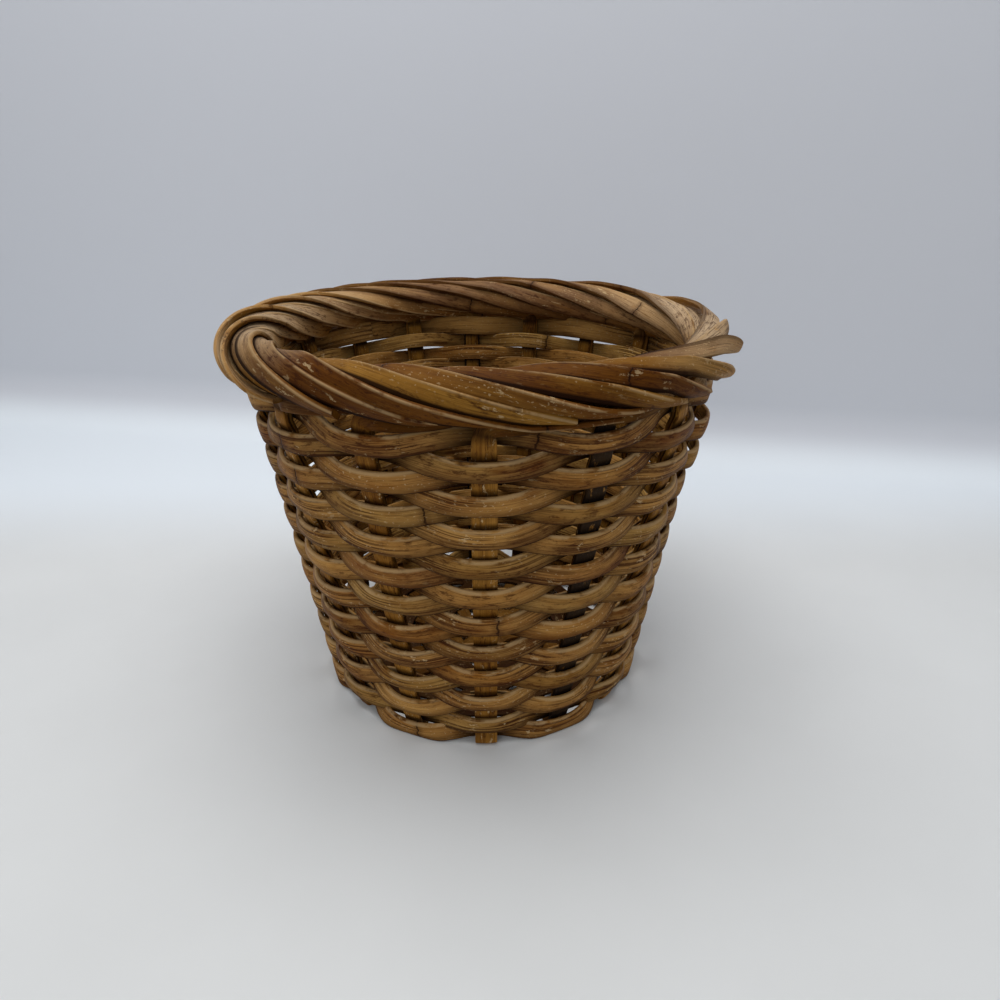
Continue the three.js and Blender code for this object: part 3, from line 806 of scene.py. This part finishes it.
def round_way(number_of_round, rings):
    radius = FIRST_ROUND + number_of_round * ROUND_PITCH
    lap = (number_of_round * LAP_STEP + FIRST_ROUND_LAP) % UPRIGHTS
    if (lap + number_of_round) % 2 == 0:
        lap += 1  # the lap lies on top of a spoke
    spokes = [spoke_at_radius(lap + step, radius) for step in range(UPRIGHTS + 1)]
    angles = np.unwrap([math.atan2(spoke[0], -spoke[1]) for spoke in spokes])
    spacing = float(angles[1] - angles[0])
    lap_half = MAT_WIDTH / 2 / (radius * spacing)
    steps = np.linspace(-lap_half, UPRIGHTS + lap_half, rings + 1)
    inside = np.clip(steps, 0, UPRIGHTS)
    angle = np.interp(inside, np.arange(UPRIGHTS + 1), angles) + (steps - inside) * spacing
    side = lingering(np.cos(math.pi * steps))
    middle = point_at(angle, np.full(rings + 1, radius), BASE_HEIGHT + side * ROUND_OFFSET)
    thickness, shift = lapped(steps, UPRIGHTS, lap_half, ROUND_THICKNESS)
    seed = ROUND_SEED + number_of_round
    # The rounds are painted in shade all over
    return finished_way(
        middle, np.broadcast_to(UP, middle.shape), ROUND_WIDTH, thickness, seed,
        crown=SPLIT_CROWN, shift=shift, shade=0.55,
        tone=0.4 * drift(steps * 0.6, seed) + fraction(seed) - 0.5,
        growth_rings=growth_places(0.4, seed))


# Cane
def linear(red, green, blue):
    """A colour given as it looks on screen, 0 to 255, for a shader."""
    shares = [value / 255 for value in (red, green, blue)]
    return [s / 12.92 if s <= 0.04045 else ((s + 0.055) / 1.055) ** 2.4 for s in shares] + [1.0]


def cane_material(name, pale, body, russet, lines, gloss):
    """Split cane: grain along the strip, warm and dull stretches, growth rings, flecks, scuffs,
    pale worn upper edges with a painted highlight, and painted shade. The strip's own UV map
    runs along and across it in metres. Lines says how strong the dark grain is, and gloss how
    much varnish is left."""
    material = bpy.data.materials.new(name)
    material.use_nodes = True
    nodes, links = material.node_tree.nodes, material.node_tree.links
    shader = nodes["Principled BSDF"]
    shader.inputs["Coat Weight"].default_value = gloss
    shader.inputs["Coat Roughness"].default_value = 0.3
    shader.inputs["Specular IOR Level"].default_value = 0.05

    def attribute(key):
        node = nodes.new("ShaderNodeAttribute")
        node.attribute_name = key
        return node.outputs["Fac"]

    def math_node(operation, *values, clamp=False):
        node = nodes.new("ShaderNodeMath")
        node.operation = operation
        node.use_clamp = clamp
        for socket, value in zip(node.inputs, values):
            if isinstance(value, (int, float)):
                socket.default_value = value
            else:
                links.new(value, socket)
        return node.outputs[0]

    def product(first, second):
        return math_node("MULTIPLY", first, second)

    def centred(value):
        return math_node("SUBTRACT", value, 0.5)

    def mix_colour(share, first, second):
        node = nodes.new("ShaderNodeMix")
        node.data_type = "RGBA"
        sockets = (node.inputs[0], node.inputs[6], node.inputs[7])
        for socket, value in zip(sockets, (share, first, second)):
            if isinstance(value, (int, float, list)):
                socket.default_value = value
            else:
                links.new(value, socket)
        return node.outputs[2]

    def spread(value, low, high):
        """0 where the value is low and 1 where it is high. Low may be the larger one."""
        node = nodes.new("ShaderNodeMapRange")
        node.interpolation_type = "SMOOTHSTEP"
        node.inputs["From Min"].default_value = low
        node.inputs["From Max"].default_value = high
        links.new(value, node.inputs["Value"])
        return node.outputs["Result"]

    strip = nodes.new("ShaderNodeUVMap")
    strip.uv_map = "strip"

    def strip_noise(along, across, detail, rough):
        """Noise with the given number of features to the metre, along and across the strip."""
        mapping = nodes.new("ShaderNodeMapping")
        mapping.inputs["Scale"].default_value = (along, across, 1)
        links.new(strip.outputs["UV"], mapping.inputs["Vector"])
        noise = nodes.new("ShaderNodeTexNoise")
        noise.inputs["Scale"].default_value = 1.0
        noise.inputs["Detail"].default_value = detail
        noise.inputs["Roughness"].default_value = rough
        links.new(mapping.outputs["Vector"], noise.inputs["Vector"])
        return noise.outputs["Fac"]

    fine_grain = strip_noise(38, 2600, 3.0, 0.7)
    grain = strip_noise(12, 900, 3.0, 0.6)
    blotch = strip_noise(70, 260, 4.0, 0.65)
    stretch = strip_noise(11, 45, 2.0, 0.5)
    fleck = strip_noise(620, 900, 2.0, 0.5)
    flake = strip_noise(150, 330, 5.0, 0.7)
    patch = strip_noise(20, 55, 2.0, 0.5)
    soil = strip_noise(150, 520, 5.0, 0.75)

    # Warm, dull and dusty stretches, then the grain: broad lines, dirt in it and fine lines
    tone = math_node("MULTIPLY_ADD", attribute("tone"), 0.36, 0.50)
    tone = math_node("MULTIPLY_ADD", centred(stretch), 1.7, tone)
    tone = math_node("MULTIPLY_ADD", centred(blotch), 1.4, tone, clamp=True)
    hue = math_node("MULTIPLY_ADD", centred(patch), 1.6, attribute("hue"), clamp=True)
    colour = mix_colour(tone, mix_colour(hue, body, russet), pale)
    dusty = product(attribute("dust"), spread(blotch, 0.15, 0.50))
    colour = mix_colour(product(dusty, 0.78), colour, DUST)
    lined = product(spread(grain, 0.53, 0.42), spread(patch, 0.42, 0.55))
    colour = mix_colour(product(lined, lines), colour, DEEP_BROWN)
    dirt = product(spread(soil, 0.50, 0.38), spread(stretch, 0.56, 0.42))
    colour = mix_colour(product(dirt, 0.75), colour, DEEP_BROWN)
    fine = math_node("MULTIPLY_ADD", attribute("dust"), 0.55, 0.15 + 0.5 * lines)
    fine = product(spread(fine_grain, 0.50, 0.38), fine)
    colour = mix_colour(fine, colour, DEEP_BROWN)

    # Pale flecks, and bare wood where the varnish has come off
    specks = product(spread(fleck, 0.62, 0.68), spread(stretch, 0.46, 0.55))
    bare = product(spread(flake, 0.585, 0.62), spread(patch, 0.50, 0.60))
    colour = mix_colour(product(specks, 0.5), colour, BARE_CANE)
    colour = mix_colour(product(bare, 0.7), colour, BARE_CANE)

    # The growth ring: a thin, ragged dark line with a brown stain beside it
    ragged = math_node("MULTIPLY_ADD", centred(blotch), 0.0045, attribute("growth"))
    distance = math_node("ABSOLUTE", ragged)
    line = product(spread(distance, 0.0006, 0.0002), spread(grain, 0.36, 0.46))
    stain = product(spread(distance, 0.004, 0.0004), 0.42)
    colour = mix_colour(stain, colour, DEEP_BROWN)
    colour = mix_colour(product(line, 0.85), colour, RING_LINE_AND_SHADE)

    # Upper edges are worn pale with a painted highlight, and painted shade darkens the rest
    upper = attribute("upper")
    # Painted shade: each strip darkens towards its lower edge, as if lit from above
    under = product(spread(upper, 0.1, -1.0), 0.5)
    colour = mix_colour(under, colour, DEEP_BROWN)
    # Worn pale upper edges, with a painted highlight where light from above catches them
    wear_and_highlight = product(spread(upper, 0.60, 0.84), spread(blotch, 0.38, 0.52))
    colour = mix_colour(product(wear_and_highlight, 0.7), colour, SPLIT_SIDE_AND_HIGHLIGHT)
    # Painted shadow: a thin dark line along each strip's lower edge
    shadow_under_edge = product(spread(upper, -0.86, -0.96), 0.75)
    colour = mix_colour(shadow_under_edge, colour, RING_LINE_AND_SHADE)
    # Painted shade where a strand is tucked under the next, and on the faces given shade,
    # mottled
    tucked = product(spread(upper, -0.34, -0.62), attribute("tuck"))
    shade_mottle = spread(blotch, 0.15, 0.45)
    painted_shade = math_node("MULTIPLY_ADD", attribute("shade"), shade_mottle, tucked, clamp=True)
    colour = mix_colour(product(painted_shade, 0.93), colour, RING_LINE_AND_SHADE)
    burnt = product(attribute("burn"), spread(flake, 0.30, 0.42))
    colour = mix_colour(product(burnt, 0.93), colour, CHARRED)
    links.new(colour, shader.inputs["Base Color"])

    rough = math_node("MULTIPLY_ADD", blotch, 0.4, 0.34)
    rough = math_node("MULTIPLY_ADD", bare, 0.25, rough)
    rough = math_node("MULTIPLY_ADD", painted_shade, 0.3, rough, clamp=True)
    links.new(rough, shader.inputs["Roughness"])

    relief = math_node("MULTIPLY_ADD", fine_grain, 0.3, product(grain, 0.7))
    relief = math_node("MULTIPLY_ADD", line, -0.7, relief)
    relief = math_node("MULTIPLY_ADD", stain, 0.5, relief)
    relief = math_node("MULTIPLY_ADD", bare, -0.3, relief)
    bump = nodes.new("ShaderNodeBump")
    bump.inputs["Strength"].default_value = 0.5
    bump.inputs["Distance"].default_value = 0.0005
    links.new(relief, bump.inputs["Height"])
    links.new(bump.outputs["Normal"], shader.inputs["Normal"])
    return material


# DEEP_BROWN colours the grain, dirt and ring stains, and also the painted shade towards each
# strip's lower edge. The colour after it draws the growth ring lines, the painted shade and the
# painted shadow lines.
DEEP_BROWN = linear(56, 22, 3)
RING_LINE_AND_SHADE = linear(24, 7, 1)
BARE_CANE = linear(204, 174, 128)
# Pale raw cane of the worn edges, which also stands for a painted highlight there
SPLIT_SIDE_AND_HIGHLIGHT = linear(182, 150, 106)
DUST = linear(190, 168, 138)
CHARRED = linear(15, 11, 9)
# Where it is pale, its body, where it is russet, how strong its grain is and its gloss
CANES = {
    "honey_cane": ((186, 138, 72), (132, 79, 16), (113, 60, 12), 0.8, 0.01),
    "olive_cane": ((182, 140, 74), (127, 81, 18), (110, 62, 14), 0.8, 0.01),
    "split_cane": ((168, 119, 50), (116, 71, 14), (100, 56, 12), 0.3, 0.015),
    "by_stake_cane": ((168, 120, 48), (118, 73, 14), (102, 59, 13), 0.4, 0.015),
    "blackened_cane": ((162, 114, 52), (112, 68, 17), (94, 52, 14), 0.3, 0.01),
    # The base's colours are darker than the rest: painted shade for the base under the wall
    "base_cane": ((96, 66, 34), (66, 41, 16), (56, 32, 12), 0.5, 0.01),
}
CANE = {
    name: cane_material(name, linear(*pale), linear(*body), linear(*russet), lines, gloss)
    for name, (pale, body, russet, lines, gloss) in CANES.items()
}


# Every piece of cane
SPLIT_BLANK = straight_split(
    "split_blank", STRAND_WIDTH, SPLIT_THICKNESS, SPLIT_EDGE, (26, 20))
BY_STAKE_BLANK = straight_split(
    "by_stake_blank", BY_STAKE_WIDTH, SPLIT_THICKNESS, SPLIT_EDGE, (16, 14))
COURSE_BLANK = straight_split(
    "course_blank", BLANK_COURSE_WIDTH, COURSE_THICKNESS, COURSE_EDGE, (20, 18))
ROUND_BLANK = straight_split(
    "round_blank", ROUND_WIDTH, ROUND_THICKNESS, ROUND_EDGE, (16, 14))

for split in range(2 * SPLITS_EACH_WAY):
    slot = "blackened_cane" if split == BLACKENED else "split_cane"
    way = long_split_way(*divmod(split, SPLITS_EACH_WAY), SPLIT_BLANK["rings"])
    bent_split(f"split_{split + 1}", SPLIT_BLANK, way, slot, f"long_split_{split + 1}")

for number in range(UPRIGHTS):
    way = by_stake_way(number, BY_STAKE_BLANK["rings"])
    name, node = f"second_stake_{number + 1:02d}", f"by_stake_{number + 1:02d}"
    bent_split(name, BY_STAKE_BLANK, way, "by_stake_cane", node)

for course in range(COURSES):
    slot = "olive_cane" if course % 3 == 1 else "honey_cane"
    way = course_way(course, COURSE_BLANK["rings"])
    name, node = f"weaver_{course + 1:02d}", f"wall_course_{course + 1:02d}"
    bent_split(name, COURSE_BLANK, way, slot, node)

for number_of_round in range(ROUNDS):
    way = round_way(number_of_round, ROUND_BLANK["rings"])
    name, node = f"base_weaver_{number_of_round + 1}", f"base_round_{number_of_round + 1}"
    bent_split(name, ROUND_BLANK, way, "base_cane", node)

for blank in (SPLIT_BLANK, BY_STAKE_BLANK, COURSE_BLANK, ROUND_BLANK):
    bpy.data.objects.remove(blank["mesh"])


# Floor, backdrop, light and camera
def stage_material(name, pale, dark, far, backdrop, scale):
    """A mottled floor, painted paler towards the backdrop as light, and the plain backdrop that
    it turns up into.
    """
    material = bpy.data.materials.new(name)
    material.use_nodes = True
    nodes, links = material.node_tree.nodes, material.node_tree.links
    shader = nodes["Principled BSDF"]
    shader.inputs["Roughness"].default_value = 0.55
    shader.inputs["Specular IOR Level"].default_value = 0.3
    place = nodes.new("ShaderNodeTexCoord")
    noise = nodes.new("ShaderNodeTexNoise")
    noise.inputs["Scale"].default_value = scale
    noise.inputs["Detail"].default_value = 6
    links.new(place.outputs["Object"], noise.inputs["Vector"])
    along = nodes.new("ShaderNodeSeparateXYZ")
    links.new(place.outputs["Object"], along.inputs[0])

    def rising(output, low, high):
        ramp = nodes.new("ShaderNodeMapRange")
        ramp.interpolation_type = "SMOOTHSTEP"
        ramp.inputs["From Min"].default_value = low
        ramp.inputs["From Max"].default_value = high
        links.new(along.outputs[output], ramp.inputs["Value"])
        return ramp.outputs["Result"]

    def mixed(share, first, second):
        mix = nodes.new("ShaderNodeMix")
        mix.data_type = "RGBA"
        links.new(share, mix.inputs[0])
        for socket, colour in ((mix.inputs[6], first), (mix.inputs[7], second)):
            if isinstance(colour, list):
                socket.default_value = colour
            else:
                links.new(colour, socket)
        return mix.outputs[2]

    ground = mixed(noise.outputs["Fac"], pale, dark)
    # Painted light: the floor pales towards the backdrop
    ground = mixed(rising("Y", *FAR_FLOOR), ground, far)
    ground = mixed(rising("Z", *BACKDROP_FOOT), ground, backdrop)
    links.new(ground, shader.inputs["Base Color"])
    return material


FLOOR_SIZE = 3
FAR_FLOOR = (0.08, 0.24)  # between which places the floor is painted paler, as light
SWEEP_START = 0.29  # where the floor turns up into the backdrop
SWEEP_RADIUS = 0.05
SWEEP_SKEW = -0.17  # the backdrop stands farther off on the left
BACKDROP_FOOT = (0, 0.03)  # between which heights it takes its own colour
BACKDROP_HEIGHT = 1.6
FLOOR_MOTTLE = 9
bpy.ops.object.select_all(action="DESELECT")
bpy.ops.mesh.primitive_plane_add(size=FLOOR_SIZE, location=(0, SWEEP_START - FLOOR_SIZE / 2, 0))
floor = bpy.context.object
floor.name = "floor"
bpy.ops.object.transform_apply(location=True, rotation=False, scale=False)
floor.data.materials.append(stage_material(
    "pale_floor", pale=linear(224, 225, 224), dark=linear(212, 213, 212),
    far=linear(232, 238, 243), backdrop=linear(208, 210, 216), scale=FLOOR_MOTTLE))
bpy.ops.object.mode_set(mode="EDIT")
pick_edges(floor, lambda middle, way: middle.y > 0)
bpy.ops.mesh.spin(
    steps=12, angle=math.radians(-90), center=(0, SWEEP_START, SWEEP_RADIUS), axis=(1, 0, 0))
bpy.ops.mesh.extrude_edges_move(TRANSFORM_OT_translate={"value": (0, 0, BACKDROP_HEIGHT)})
bpy.ops.object.mode_set(mode="OBJECT")
for vertex in floor.data.vertices:
    if vertex.co.y > 0:
        vertex.co.y += SWEEP_SKEW * vertex.co.x
bpy.ops.object.shade_smooth()

SKY_COLOUR = (0.93, 0.96, 1.0, 1)
SKY_STRENGTH = 0.41
world = bpy.data.worlds.new("soft_light")
bpy.context.scene.world = world
world.use_nodes = True
sky = world.node_tree.nodes["Background"]
sky.inputs["Color"].default_value = SKY_COLOUR
sky.inputs["Strength"].default_value = SKY_STRENGTH


def soft_lamp(name, place, aim, size, power):
    """A square lamp that looks at its aim, which isn't straight below it."""
    data = bpy.data.lights.new(name, "AREA")
    data.shape = "SQUARE"
    data.size = size
    data.energy = power
    lamp = bpy.data.objects.new(name, data)
    bpy.context.collection.objects.link(lamp)
    lamp.location = place
    direction = np.array(aim) - np.array(place)
    lamp.rotation_euler = (
        math.atan2(math.hypot(direction[0], direction[1]), -direction[2]),
        0,
        math.atan2(-direction[0], direction[1]),
    )


LAMP_AIM = (0, 0, 0.1)
soft_lamp("ceiling_lamp", (-0.05, 0.08, 1.1), LAMP_AIM, size=1.0, power=9.4)
soft_lamp("front_lamp", (-0.5, -1.0, 0.9), LAMP_AIM, size=0.7, power=2)

# The camera of the photograph
CAMERA_PLACE = (0.0095, -0.3623, 0.2561)
CAMERA_TILT = math.radians(65.36)
camera_data = bpy.data.cameras.new("camera")
camera_data.lens = 27.04
camera_data.sensor_width = 36
camera = bpy.data.objects.new("camera", camera_data)
bpy.context.collection.objects.link(camera)
camera.location = CAMERA_PLACE
camera.rotation_euler = (CAMERA_TILT, 0, 0)
bpy.context.scene.camera = camera
bpy.context.scene.view_settings.view_transform = "Standard"
